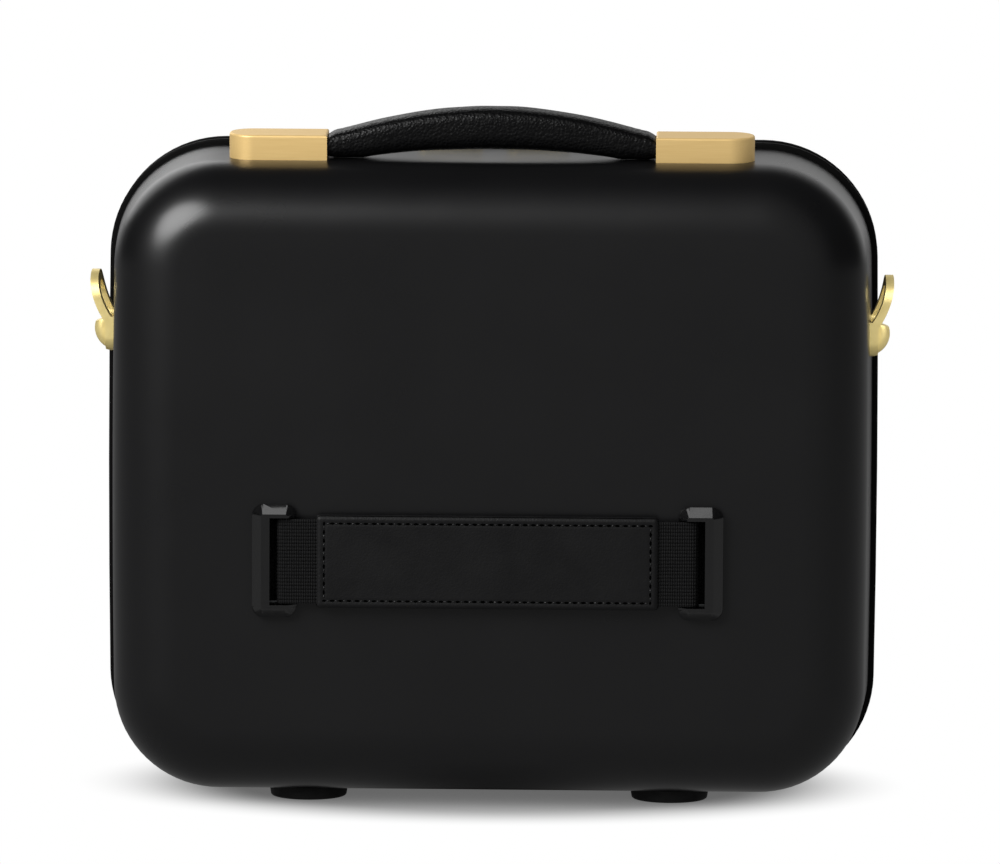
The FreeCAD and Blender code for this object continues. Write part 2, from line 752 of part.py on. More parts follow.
# Mirror and its frame on the front wall of the lid
frame_half_w = mirror_width / 2 + frame_border
frame_half_h = mirror_height / 2 + frame_border
frame_y0 = lining_inner_face - frame_thickness
mirror_half_w = mirror_width / 2
mirror_half_h = mirror_height / 2
mirror = rounded_box(-mirror_half_w, mirror_half_w, lining_inner_face - mirror_thickness, lining_inner_face,
                     mid_z - mirror_half_h, mid_z + mirror_half_h, mirror_corner, V(0, 1, 0))
window = rounded_box(frame_lap - mirror_half_w, mirror_half_w - frame_lap, frame_y0 - wall, lining_inner_face,
                     mid_z - mirror_half_h + frame_lap, mid_z + mirror_half_h - frame_lap,
                     mirror_corner - frame_lap, V(0, 1, 0))
mirror_frame = rounded_box(-frame_half_w, frame_half_w, frame_y0, lining_inner_face,
                           mid_z - frame_half_h, mid_z + frame_half_h,
                           mirror_corner + frame_border, V(0, 1, 0))
mirror_frame = mirror_frame.cut(mirror).cut(window)

# The two halves
save("back_shell", back_shell)
save("front_shell", mirrored_y(front_shell))
for half_name, turn in (("back", lambda s: s), ("front", mirrored_y)):
    save(half_name + "_rim_bead", turn(bead))
    save(half_name + "_zip_tape", turn(tape))
    save(half_name + "_zip_chain", turn(chain))
    save(half_name + "_lining", turn(lining))
    save(half_name + "_foot_left", turn(feet["left"]))
    save(half_name + "_foot_right", turn(feet["right"]))
    save_group(half_name + "_foot_screws", [turn(s) for s in foot_screws])
save("hinge_tape", hinge_tape)
save("pocket", pocket)
save("mirror", mirror)
save("mirror_frame", mirror_frame)

# Handle
save("handle_grip", seated(grip))
save("handle_core", seated(core))
save("handle_backing_plate", handle_plate)
save_group("handle_screws", handle_screws)

# Pieces that come in a left and right pair, modelled on the right
pairs = (("handle_cap", cap_right), ("strap_eye", eye_right), ("strap_eye_plate", eye_plate),
         ("strap_anchor", anchor_right), ("strap_clamp", clamp_right),
         ("zip_slider", zip_slider()), ("zip_pull", zip_pull()))
for name, shape in pairs:
    save(name + "_right", shape)
    save(name + "_left", mirrored_x(shape))
save_group("strap_eye_screws", eye_screws + [mirrored_x(s) for s in eye_screws])
save_group("strap_anchor_screws", anchor_screws + [mirrored_x(s) for s in anchor_screws])

# Trolley strap
save("strap_webbing", webbing)
save("strap_patch_front", patch_front)
save("strap_patch_back", patch_back)
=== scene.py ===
import bpy
import math
from mathutils import Matrix, Vector, noise


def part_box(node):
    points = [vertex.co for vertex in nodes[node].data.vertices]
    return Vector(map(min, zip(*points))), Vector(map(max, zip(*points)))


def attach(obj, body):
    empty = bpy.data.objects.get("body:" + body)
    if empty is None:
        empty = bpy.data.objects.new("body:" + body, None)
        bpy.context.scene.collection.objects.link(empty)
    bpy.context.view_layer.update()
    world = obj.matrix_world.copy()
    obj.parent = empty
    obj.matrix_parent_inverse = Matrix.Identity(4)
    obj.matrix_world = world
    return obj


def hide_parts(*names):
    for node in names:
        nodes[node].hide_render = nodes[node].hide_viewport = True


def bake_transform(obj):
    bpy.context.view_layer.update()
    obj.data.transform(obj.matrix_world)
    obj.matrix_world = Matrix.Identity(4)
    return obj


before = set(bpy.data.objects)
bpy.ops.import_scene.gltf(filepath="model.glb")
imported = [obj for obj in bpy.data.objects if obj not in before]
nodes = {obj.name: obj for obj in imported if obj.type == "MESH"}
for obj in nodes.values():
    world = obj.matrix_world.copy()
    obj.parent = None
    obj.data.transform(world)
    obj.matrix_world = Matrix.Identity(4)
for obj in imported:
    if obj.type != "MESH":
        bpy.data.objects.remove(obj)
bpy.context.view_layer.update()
mm = 0.001
weldReach = 0.01 * mm
print("frame loaded:", len(nodes), "CAD nodes")


# Helpers for selecting, modelling and finishing pieces
def startClean():
    bpy.ops.object.select_all(action="DESELECT")


def added(operator, **settings):
    startClean()
    operator(**settings)
    return bpy.context.object


def pick(piece):
    startClean()
    piece.select_set(True)
    bpy.context.view_layer.objects.active = piece


def inEditMode(piece, *steps):
    pick(piece)
    bpy.ops.object.mode_set(mode="EDIT")
    bpy.ops.mesh.select_all(action="SELECT")
    for step in steps:
        step()
    bpy.ops.object.mode_set(mode="OBJECT")


def weld():
    bpy.ops.mesh.remove_doubles(threshold=weldReach)


def faceOutwards():
    bpy.ops.mesh.normals_make_consistent(inside=False)


def closeEnds():
    bpy.ops.mesh.select_all(action="DESELECT")
    bpy.ops.mesh.select_mode(type="EDGE")
    bpy.ops.mesh.select_non_manifold()
    bpy.ops.mesh.fill_holes(sides=0)


def useModifier(piece, kind, **settings):
    pick(piece)
    modifier = piece.modifiers.new(kind.lower(), kind)
    for name, value in settings.items():
        setattr(modifier, name, value)
    bpy.ops.object.modifier_apply(modifier=modifier.name)


# A grid whose point at share u along it and share v across it goes to place(u, v)
def mappedGrid(name, columns, rows, place):
    piece = added(bpy.ops.mesh.primitive_grid_add, x_subdivisions=columns, y_subdivisions=rows, size=2)
    piece.name = name
    for vertex in piece.data.vertices:
        vertex.co = place((vertex.co.x + 1) / 2, (vertex.co.y + 1) / 2)
    return piece


# Copies of a small piece, each turned so that its X and its Z run along two directions
def strew(name, pattern, places):
    copies = []
    for point, along, lift in places:
        copy = pattern.copy()
        copy.data = pattern.data.copy()
        bpy.context.collection.objects.link(copy)
        side = lift.cross(along).normalized()
        for vertex in copy.data.vertices:
            local = vertex.co.copy()
            vertex.co = point + along * local.x + side * local.y + lift * local.z
        copies.append(copy)
    startClean()
    for copy in copies:
        copy.select_set(True)
    bpy.context.view_layer.objects.active = copies[0]
    bpy.ops.object.join()
    joined = bpy.context.object
    joined.name = name
    bpy.data.objects.remove(pattern)
    return joined


def settle(piece, material, body, smoothAngle=60):
    pick(piece)
    bpy.ops.object.transform_apply(location=True, rotation=True, scale=True)
    inEditMode(piece, faceOutwards)
    bpy.ops.object.shade_smooth_by_angle(angle=math.radians(smoothAngle))
    piece.data.materials.clear()
    piece.data.materials.append(material)
    if body:
        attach(piece, body)


def middle(low, high):
    return (low + high) / 2


def mixed(a, b, share):
    return a + (b - a) * share


def bell(distance, width):
    return math.exp(-(distance / width) ** 2)


# Camera: a long lens at the photograph's angle, a little right of square, a little above and slightly tilted
cameraView = {
    "azimuth": 1.45,
    "elevation": 6.8,
    "tilt": 0.3,
    "distance": 4.5,
    "millimetresPerPixel": 0.4461,
    "imageWidth": 1000,
    "imageHeight": 864,
    "patchPixel": (487.1, 563.6),
    "sensorWidth": 36.0,
    "clipEnd": 50,
}


def placeCamera(view):
    turn = math.radians(view["azimuth"])
    rise = math.radians(view["elevation"])
    tilt = math.radians(view["tilt"])
    back = Vector((math.sin(turn) * math.cos(rise), -math.cos(turn) * math.cos(rise), math.sin(rise)))
    level = Vector((math.cos(turn), math.sin(turn), 0))
    upright = back.cross(level)
    right = level * math.cos(tilt) + upright * math.sin(tilt)
    up = upright * math.cos(tilt) - level * math.sin(tilt)
    low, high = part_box("strap_patch_front")
    patchCentre = Vector((middle(low.x, high.x), low.y, middle(low.z, high.z)))
    pixel = view["millimetresPerPixel"] * mm
    shiftRight = (view["imageWidth"] / 2 - view["patchPixel"][0]) * pixel
    shiftUp = (view["patchPixel"][1] - view["imageHeight"] / 2) * pixel
    aim = patchCentre + right * shiftRight + up * shiftUp
    camera = added(bpy.ops.object.camera_add, location=aim + back * view["distance"])
    camera.name = "camera"
    camera.rotation_mode = "QUATERNION"
    camera.rotation_quaternion = Matrix((right, up, back)).transposed().to_quaternion()
    camera.data.sensor_width = view["sensorWidth"]
    camera.data.lens = view["sensorWidth"] * view["distance"] / (view["imageWidth"] * pixel)
    camera.data.clip_end = view["clipEnd"]
    bpy.context.scene.camera = camera


# sRGB hex to the linear colour that a shader takes
def linear(hexText):
    channels = [int(hexText[i:i + 2], 16) / 255 for i in (1, 3, 5)]
    return (*[c / 12.92 if c <= 0.04045 else ((c + 0.055) / 1.055) ** 2.4 for c in channels], 1.0)


def addNode(tree, kind, links=None, values=None, **settings):
    node = tree.nodes.new("ShaderNode" + kind)
    for name, value in settings.items():
        setattr(node, name, value)
    for socket, value in (values or {}).items():
        node.inputs[socket].default_value = value
    for socket, source in (links or {}).items():
        tree.links.new(source, node.inputs[socket])
    return node


# World: white to the camera, even light for matt surfaces. Reflections see a pale sweep behind the case,
# a dim glow in front and dark flags at the sides.
# Floor: clear to the camera apart from a soft shadow, so that the lid shows where it swings below it.
# Reflections see a dim glow on it that fades out under the case.
studio = {
    "ambient": 0.95,
    "backdropGlow": 0.57,
    "backdropFrom": 0.55,
    "backdropTo": 0.9,
    "frontGlow": 0.215,
    "frontMiddle": (-0.22, -0.97, 0.1),
    "frontFrom": 0.15,
    "frontTo": 0.85,
    "roomGlow": 0.02,
    "softboxes": [
        {"name": "keyCard", "place": (-0.94, -1.17, 1.06), "aim": (0, 0, 0.2),
         "size": (1.2, 1.05), "watts": 29.5},
        {"name": "backSoftbox", "place": (-0.75, 1.2, 0.95), "aim": (0, 0, 0.25),
         "size": (1.3, 1.1), "watts": 4.0},
        {"name": "eyeFill", "place": (0.94, -1.17, 1.06), "aim": (0, 0, 0.2),
         "size": (1.2, 1.05), "watts": 25.0, "lightsOnly": ("strap_eye_left", "strap_eye_right")},
        {"name": "anchorTop", "place": (-0.1, -0.4, 1.3), "aim": (0, 0, 0.1),
         "size": (0.7, 0.5), "watts": 1.5, "lightsOnly": ("strap_anchor_left", "strap_anchor_right")},
    ],
    "floorSize": 12.0,
    "floorColour": "#F2F2F2",
    "floorDark": 0.13,
    "floorLight": 0.635,
    "shadowReach": 1.0,
    "shadowSamples": 16,
    "whiteFrom": 0.0766,
    "whiteTo": 0.128,
    "shadowWidth": 1.5,
    "shadeFrom": 0.04,
    "shadeTo": 0.1,
    "shade": 0.05,
}


# What reflections see in a direction
def reflectedGlow(tree, direction, look):
    axes = addNode(tree, "SeparateXYZ", {0: direction})
    behind = addNode(tree, "MapRange", {0: axes.outputs["Y"]},
                     {1: look["backdropFrom"], 2: look["backdropTo"],
                      3: look["roomGlow"], 4: look["backdropGlow"]},
                     interpolation_type="SMOOTHSTEP")
    facing = addNode(tree, "VectorMath", {0: direction}, {1: look["frontMiddle"]}, operation="DOT_PRODUCT")
    ahead = addNode(tree, "MapRange", {0: facing.outputs["Value"]},
                    {1: look["frontFrom"], 2: look["frontTo"], 3: 0.0, 4: look["frontGlow"]},
                    interpolation_type="SMOOTHSTEP")
    return addNode(tree, "Math", {0: behind.outputs[0], 1: ahead.outputs[0]}, operation="ADD").outputs[0]


def buildWorld(look):
    scene = bpy.context.scene
    scene.view_settings.view_transform = "Standard"
    scene.world = bpy.data.worlds.new("studio")
    scene.world.use_nodes = True
    tree = scene.world.node_tree
    tree.nodes.clear()
    rays = addNode(tree, "LightPath").outputs
    sweep = reflectedGlow(tree, addNode(tree, "TexCoord").outputs["Generated"], look)
    glossy = addNode(tree, "Math", {0: rays["Is Glossy Ray"], 1: rays["Is Transmission Ray"]},
                     operation="MAXIMUM")
    reflected = addNode(tree, "Mix", {"Factor": glossy.outputs[0], 3: sweep}, {2: look["ambient"]})
    strength = addNode(tree, "Mix", {"Factor": rays["Is Camera Ray"], 2: reflected.outputs[0]}, {3: 1.0})
    glow = addNode(tree, "Background", {"Strength": strength.outputs[0]}, {"Color": (1, 1, 1, 1)})
    addNode(tree, "OutputWorld", {"Surface": glow.outputs[0]})


def hangLamps(look):
    lamps = []
    for softbox in look["softboxes"]:
        lamp = added(bpy.ops.object.light_add, type="AREA", location=softbox["place"])
        lamp.name = softbox["name"]
        towards = Vector(softbox["aim"]) - Vector(softbox["place"])
        lamp.rotation_euler = towards.to_track_quat("-Z", "Y").to_euler()
        lamp.data.shape = "ELLIPSE"
        lamp.data.size, lamp.data.size_y = softbox["size"]
        lamp.data.energy = softbox["watts"]
        lamp.visible_camera = False
        lamps.append(lamp)
    return lamps


def layFloor(look):
    floor = added(bpy.ops.mesh.primitive_plane_add, size=look["floorSize"], location=(0, 0, 0))
    floor.name = "floor"
    card = bpy.data.materials.new("paper sweep")
    card.use_nodes = True
    tree = card.node_tree
    tree.nodes.clear()
    rays = addNode(tree, "LightPath").outputs
    spot = addNode(tree, "NewGeometry").outputs
    # reflections: a glow that fades out under the case
    far = addNode(tree, "VectorMath", {0: spot["Position"]}, operation="LENGTH").outputs["Value"]
    shade = addNode(tree, "MapRange", {0: far},
                    {1: look["shadeFrom"], 2: look["shadeTo"], 3: look["shade"]},
                    interpolation_type="SMOOTHSTEP")
    pool = addNode(tree, "Math", {0: shade.outputs[0]}, {1: look["frontGlow"]}, operation="MULTIPLY")
    mirrored = addNode(tree, "Emission", {"Strength": pool.outputs[0]})
    paper = addNode(tree, "BsdfDiffuse", None, {"Color": linear(look["floorColour"])})
    solid = addNode(tree, "MixShader",
                    {0: rays["Is Glossy Ray"], 1: paper.outputs[0], 2: mirrored.outputs[0]})
    # the camera: a soft shadow that fades to white in an oval round the case
    oval = addNode(tree, "VectorMath", {0: spot["Position"]}, {1: (1 / look["shadowWidth"], 1, 1)},
                   operation="MULTIPLY")
    outside = addNode(tree, "VectorMath", {0: oval.outputs[0]}, operation="LENGTH").outputs["Value"]
    whiten = addNode(tree, "MapRange", {0: outside}, {1: look["whiteFrom"], 2: look["whiteTo"]},
                     interpolation_type="SMOOTHSTEP")
    openSky = addNode(tree, "AmbientOcclusion", None, {"Distance": look["shadowReach"]},
                      samples=look["shadowSamples"])
    shadow = addNode(tree, "MapRange", {0: openSky.outputs["AO"]},
                     {1: 0.0, 2: 1.0, 3: look["floorDark"], 4: look["floorLight"]})
    seen = addNode(tree, "Mix", {"Factor": whiten.outputs[0], 2: shadow.outputs[0]}, {3: 1.0})
    passed = addNode(tree, "Mix", {"Factor": rays["Is Camera Ray"], 3: seen.outputs[0]}, {2: 1.0})
    clear = addNode(tree, "BsdfTransparent", {"Color": passed.outputs[0]})
    seeThrough = addNode(tree, "Math", {0: rays["Is Camera Ray"], 1: spot["Backfacing"]}, operation="MAXIMUM")
    both = addNode(tree, "MixShader", {0: seeThrough.outputs[0], 1: solid.outputs[0], 2: clear.outputs[0]})
    addNode(tree, "OutputMaterial", {"Surface": both.outputs[0]})
    floor.data.materials.append(card)
    return floor


# A lamp lights the nodes it names, or else everything but the floor
def limitLamps(lamps, floor, look):
    for lamp, softbox in zip(lamps, look["softboxes"]):
        chosen = [nodes[name] for name in softbox.get("lightsOnly", ())]
        group = bpy.data.collections.new(lamp.name + " receivers")
        for thing in chosen or [floor]:
            group.objects.link(thing)
        for entry in group.collection_objects:
            entry.light_linking.link_state = "INCLUDE" if chosen else "EXCLUDE"
        lamp.light_linking.receiver_collection = group


placeCamera(cameraView)
buildWorld(studio)
lamps = hangLamps(studio)
limitLamps(lamps, layFloor(studio), studio)
print("camera and studio placed")


# Materials
def newMaterial(name, **sockets):
    material = bpy.data.materials.new(name)
    material.use_nodes = True
    shader = material.node_tree.nodes["Principled BSDF"]
    for socket, value in sockets.items():
        shader.inputs[socket.replace("_", " ")].default_value = value
    place = addNode(material.node_tree, "TexCoord").outputs["Object"]
    return material, material.node_tree, shader, place


def varyRoughness(tree, shader, source, low, high):
    spread = addNode(tree, "MapRange", {0: source}, {1: 0.3, 2: 0.7, 3: low, 4: high})
    tree.links.new(spread.outputs[0], shader.inputs["Roughness"])


def varyColour(tree, shader, source, dark, light):
    spread = addNode(tree, "Mix", {0: source}, {6: linear(dark), 7: linear(light)}, data_type="RGBA")
    tree.links.new(spread.outputs[2], shader.inputs["Base Color"])


def addRelief(tree, shader, source, strength, height, under=None):
    links = {"Height": source}
    if under:
        links["Normal"] = under.outputs[0]
    bump = addNode(tree, "Bump", links, {"Strength": strength, "Distance": height})
    tree.links.new(bump.outputs[0], shader.inputs["Normal"])
    return bump


def noiseAt(tree, place, size, detail=2.0, stretch=(1, 1, 1)):
    scaled = addNode(tree, "Mapping", {"Vector": place}, {"Scale": [s / size for s in stretch]})
    pattern = addNode(tree, "TexNoise", {"Vector": scaled.outputs[0]}, {"Scale": 1.0, "Detail": detail})
    return pattern.outputs["Fac"]


# Scale at which a wave texture has the given period
def waveScale(period):
    return 2 * math.pi / (20 * period)


# A surface whose colour and roughness follow one noise, as does its relief if that has no grain of its own
def clouded(name, size, detail, colours, roughness, relief=None, grain=None, stretch=(1, 1, 1), **sockets):
    material, tree, shader, place = newMaterial(name, **sockets)
    cloud = noiseAt(tree, place, size, detail, stretch)
    varyColour(tree, shader, cloud, *colours)
    varyRoughness(tree, shader, cloud, *roughness)
    if relief:
        addRelief(tree, shader, noiseAt(tree, place, grain) if grain else cloud, *relief)
    return material


# Moulded polycarbonate with a fine spark-eroded skin: deep black, satin, soft broad reflections
shellPlastic = clouded("moulded polycarbonate", 55 * mm, 3.0, ("#070708", "#09090A"), (0.27, 0.31),
                       (0.10, 0.04 * mm), 0.5 * mm, Specular_IOR_Level=0.5)
# Extruded rim trim: duller than the shell, almost without gloss, with a faint fine mottle
trimPlastic = clouded("extruded trim", 0.9 * mm, 2.0, ("#060606", "#0A0A0A"), (0.55, 0.68),
                      (0.1, 0.05 * mm), Specular_IOR_Level=0.06)
# Satin gold plate, brushed along its length: pale warm metal with fine streaks
capGold = clouded("brushed gold plate", 0.35 * mm, 3.0, ("#D8B472", "#E4C587"), (0.42, 0.5),
                  (0.08, 0.02 * mm), stretch=(0.02, 1, 1), Metallic=0.5)
# Cast gold plate: yellower and more metallic than the caps, softly clouded
eyeGold = clouded("cast gold plate", 3 * mm, 3.0, ("#E6CF86", "#EFDD9C"), (0.40, 0.46),
                  (0.05, 0.03 * mm), 2.5 * mm, Metallic=0.7)
# Gloss ABS: piano black with a clear coat, so that its bevels flash
anchorPlastic = clouded("gloss ABS", 9 * mm, 2.0, ("#060607", "#090909"), (0.10, 0.16),
                        (0.03, 0.05 * mm), Coat_Weight=0.6, Coat_Roughness=0.04)
# Moulded rubber: dull black with a scuffed, slightly dusty skin
footRubber = clouded("moulded rubber", 6 * mm, 4.0, ("#030303", "#070707"), (0.62, 0.8),
                     (0.2, 0.05 * mm), 0.4 * mm, Specular_IOR_Level=0.3)
# Nylon zip teeth: smooth, dark and a little glossy
coilNylon = clouded("nylon coil", 1.2 * mm, 2.0, ("#0B0B0C", "#151516"), (0.32, 0.44),
                    Specular_IOR_Level=0.5)
# Zinc-plated steel: bluish grey with a clouded passivated skin
plateSteel = clouded("zinc plated steel", 4 * mm, 4.0, ("#A9ABAE", "#C4C5C6"), (0.30, 0.46), Metallic=1.0)
# Silvered glass: a clear mirror with the faintest smears
mirrorGlass = clouded("silvered glass", 30 * mm, 3.0, ("#E4E7E8", "#F0F2F2"), (0.015, 0.035), Metallic=1.0)
# Painted shade in the needle holes: black and without gloss, so that they read as black dashes between the
# threads
paintedHoleShade = clouded("painted needle hole shade", 0.5 * mm, 2.0, ("#000000", "#030303"), (0.85, 1.0),
                         Specular_IOR_Level=0.0)


# Pebbled leather: rounded cells about a millimetre across, darker and rougher in the valleys
def pebbledLeather():
    material, tree, shader, place = newMaterial("pebbled leather", Specular_IOR_Level=0.2)
    wander = addNode(tree, "TexNoise", {"Vector": place}, {"Scale": 1 / (2.5 * mm), "Detail": 2.0})
    bent = addNode(tree, "Mix", {4: place, 5: wander.outputs["Color"]}, {0: 0.0006}, data_type="VECTOR")
    cells = addNode(tree, "TexVoronoi", {"Vector": bent.outputs[1]},
                    {"Scale": 1 / (1.15 * mm), "Smoothness": 0.6}, feature="SMOOTH_F1")
    varyColour(tree, shader, cells.outputs["Distance"], "#040405", "#010101")
    varyRoughness(tree, shader, cells.outputs["Distance"], 0.30, 0.50)
    pores = addRelief(tree, shader, noiseAt(tree, place, 0.25 * mm), 0.15, 0.03 * mm)
    domes = addNode(tree, "Math", {1: cells.outputs["Distance"]}, {0: 1.0}, operation="SUBTRACT")
    addRelief(tree, shader, domes.outputs[0], 0.85, 0.3 * mm, pores)
    return material


# Finished strap leather: a tight fine grain with a faint waxy sheen
def strapLeather():
    material, tree, shader, place = newMaterial("strap leather", Specular_IOR_Level=0.25)
    grain = addNode(tree, "TexVoronoi", {"Vector": place}, {"Scale": 1 / (0.9 * mm)})
    creases = addRelief(tree, shader, noiseAt(tree, place, 2.2 * mm, 3.0), 0.5, 0.12 * mm)
    haze = noiseAt(tree, place, 14 * mm, 3.0)
    varyColour(tree, shader, haze, "#070708", "#09090A")
    varyRoughness(tree, shader, haze, 0.44, 0.55)
    addRelief(tree, shader, grain.outputs["Distance"], 0.5, 0.09 * mm, creases)
    return material


# Ribbed elastic: fine crosswise picks on each rib, dull, with a little fuzz
def ribbedElastic():
    material, tree, shader, place = newMaterial("ribbed elastic", Sheen_Weight=0.01, Specular_IOR_Level=0.16)
    picks = addNode(tree, "TexWave", {"Vector": place}, {"Scale": waveScale(1.05 * mm), "Distortion": 0.6},
                    wave_type="BANDS", bands_direction="X")
    fuzz = noiseAt(tree, place, 0.4 * mm, 3.0)
    varyColour(tree, shader, picks.outputs["Fac"], "#010101", "#101011")
    varyRoughness(tree, shader, fuzz, 0.65, 0.8)
    addRelief(tree, shader, picks.outputs["Fac"], 0.9, 0.3 * mm)
    return material


# Woven polyester tape: a close herringbone of fine ribs
def wovenTape():
    material, tree, shader, place = newMaterial("polyester tape", Sheen_Weight=0.1, Specular_IOR_Level=0.3)
    weave = addNode(tree, "TexWave", {"Vector": place}, {"Scale": waveScale(0.5 * mm), "Distortion": 2.0},
                    wave_type="BANDS", bands_direction="DIAGONAL")
    varyColour(tree, shader, weave.outputs["Fac"], "#080809", "#121213")
    varyRoughness(tree, shader, noiseAt(tree, place, 0.5 * mm), 0.7, 0.85)
    addRelief(tree, shader, weave.outputs["Fac"], 0.4, 0.08 * mm)
    return material


# Lining cloth: plain-woven polyester, charcoal, with a silky sheen
def liningCloth():
    material, tree, shader, place = newMaterial("lining cloth", Sheen_Weight=0.3, Specular_IOR_Level=0.3)
    warp = addNode(tree, "TexWave", {"Vector": place}, {"Scale": waveScale(0.45 * mm)}, bands_direction="X")
    weft = addNode(tree, "TexWave", {"Vector": place}, {"Scale": waveScale(0.45 * mm)}, bands_direction="Z")
    weave = addNode(tree, "Math", {0: warp.outputs["Fac"], 1: weft.outputs["Fac"]}, operation="MULTIPLY")
    haze = noiseAt(tree, place, 40 * mm, 3.0)
    varyColour(tree, shader, haze, "#26262A", "#303035")
    varyRoughness(tree, shader, haze, 0.55, 0.68)
    addRelief(tree, shader, weave.outputs[0], 0.35, 0.06 * mm)
    return material


# Bonded nylon thread: twisted, a little glossier than the leather
def nylonThread():
    material, tree, shader, place = newMaterial("bonded thread", Specular_IOR_Level=0.5)
    twist = addNode(tree, "TexWave", {"Vector": place}, {"Scale": waveScale(0.4 * mm), "Distortion": 0.5},
                    bands_direction="DIAGONAL")
    varyColour(tree, shader, twist.outputs["Fac"], "#060607", "#0F0F10")
    varyRoughness(tree, shader, twist.outputs["Fac"], 0.4, 0.55)
    addRelief(tree, shader, twist.outputs["Fac"], 0.4, 0.06 * mm)
    return material


gripLeather = pebbledLeather()
patchLeather = strapLeather()
strapElastic = ribbedElastic()
tapeCloth = wovenTape()
innerCloth = liningCloth()
threadNylon = nylonThread()


def dress(material, *names):
    for name in names:
        nodes[name].data.materials.clear()
        nodes[name].data.materials.append(material)


# Edges that a mould leaves a little round, so that they catch the light
anchorEdge = {"width": 0.7 * mm, "segments": 3, "fromAngle": math.radians(28)}


def softenEdges(name, edge):
    merged = nodes[name].modifiers.new("merged", "WELD")
    merged.merge_threshold = weldReach
    softened = nodes[name].modifiers.new("soft edges", "BEVEL")
    softened.width = edge["width"]
    softened.segments = edge["segments"]
    softened.limit_method = "ANGLE"
    softened.angle_limit = edge["fromAngle"]


dress(trimPlastic, "back_rim_bead", "front_rim_bead")
dress(plateSteel, "handle_core", "handle_backing_plate", "handle_screws", "strap_eye_screws",
      "strap_anchor_screws", "back_foot_screws", "front_foot_screws")
dress(mirrorGlass, "mirror")
dress(patchLeather, "mirror_frame")
for side in ("left", "right"):
    dress(capGold, "handle_cap_" + side)
    dress(eyeGold, "strap_eye_" + side, "zip_slider_" + side, "zip_pull_" + side)
    dress(anchorPlastic, "strap_anchor_" + side)
    dress(footRubber, "back_foot_" + side, "front_foot_" + side)
    dress(plateSteel, "strap_eye_plate_" + side, "strap_clamp_" + side)
    softenEdges("strap_anchor_" + side, anchorEdge)
print("materials made and CAD nodes dressed")


# Outline of the case at a given inset, from the top middle round to the right, as the shells have it
caseShape = {
    "halfWidth": 172.5 * mm,
    "halfHeight": 144.85 * mm,
    "floorGap": 2.6 * mm,
    "cornerRadius": 50.0 * mm,
    "sideBow": 1.6 * mm,
    "draft": math.radians(2.8),
    "partingY": 4.3 * mm,
    "arcSteps": 24,
}
midZ = caseShape["floorGap"] + caseShape["halfHeight"]
partingY = caseShape["partingY"]
outOfBack = Vector((0, -1, 0))


def caseOutline(inset):
    halfHeight = caseShape["halfHeight"]
    corner = caseShape["cornerRadius"]
    bow = (halfHeight ** 2 + caseShape["sideBow"] ** 2) / (2 * caseShape["sideBow"])
    sideX = caseShape["halfWidth"] - bow
    cornerZ = halfHeight - corner
    cornerX = sideX + math.sqrt((bow - corner) ** 2 - cornerZ ** 2)
    sideAngle = math.atan2(cornerZ, cornerX - sideX)
    steps = caseShape["arcSteps"]
    cornerReach, sideReach = corner - inset, bow - inset
    quarter = []
    for i in range(steps + 1):
        angle = mixed(math.pi / 2, sideAngle, i / steps)
        quarter.append((cornerX + cornerReach * math.cos(angle), cornerZ + cornerReach * math.sin(angle)))
    for i in range(1, steps + 1):
        angle = sideAngle * (1 - i / steps)
        quarter.append((sideX + sideReach * math.cos(angle), sideReach * math.sin(angle)))
    right = quarter + [(x, -z) for x, z in reversed(quarter[:-1])]
    loop = right + [(-x, z) for x, z in reversed(right)]
    return [(0, halfHeight - inset)] + loop


# Places spaced evenly along an outline, each with its direction, from start to end in metres of its length
def walk(points, count, start=0.0, end=None):
    loop = [Vector((x, 0, z + midZ)) for x, z in points]
    loop.append(loop[0])
    reach = [0.0]
    for a, b in zip(loop, loop[1:]):
        reach.append(reach[-1] + (b - a).length)
    end = reach[-1] if end is None else end
    places = []
    k = 0
    for i in range(count):
        wanted = mixed(start, end, i / (count - 1))
        while k < len(loop) - 2 and reach[k + 1] < wanted:
            k += 1
        a, b = loop[k], loop[k + 1]
        along = (b - a).normalized()
        places.append((a + along * (wanted - reach[k]), along))
    return places


# The places on each ring, with the ring's depth and its share of the full size
def ringPlaces(rings, columns):
    return [[(p, depth, scale) for p, along in walk(caseOutline(inset), columns + 1)]
            for depth, inset, scale in rings]


def outlineLength(points):
    loop = points + points[:1]
    return sum(math.dist(a, b) for a, b in zip(loop, loop[1:]))


# Moulded shells: drafted walls that roll over into a flat face, with a slot for each end of the strap
shell = {
    "columns": 288,
    "edgeDepth": 5.5 * mm,
    "depth": 87.0 * mm,
    "faceRound": 30.5 * mm,
    "wall": 2.2 * mm,
    "wallRows": 8,
    "roundRows": 18,
    "faceRows": 12,
    "slotFromAnchorEnd": (8.0 * mm, 12.6 * mm),
    "slotHalfHeight": 19.6 * mm,
}


# Rings from the rim to the face: depth from the parting plane, inset from the outline, share of the full size
def shellRings():
    draft = caseShape["draft"]
    fold = shell["faceRound"]
    foldDepth = shell["depth"] - fold
    foldInset = foldDepth * math.tan(draft) + fold / math.cos(draft)
    wallEnd = foldDepth + fold * math.sin(draft)
    rings = []
    for i in range(shell["wallRows"]):
        depth = mixed(shell["edgeDepth"], wallEnd, i / shell["wallRows"])
        rings.append((depth, depth * math.tan(draft), 1.0))
    for i in range(shell["roundRows"] + 1):
        turn = mixed(draft, math.pi / 2, i / shell["roundRows"])
        rings.append((foldDepth + fold * math.sin(turn), foldInset - fold * math.cos(turn), 1.0))
    for i in range(1, shell["faceRows"] + 1):
        rings.append((shell["depth"], foldInset, 1 - i / shell["faceRows"]))
    return rings


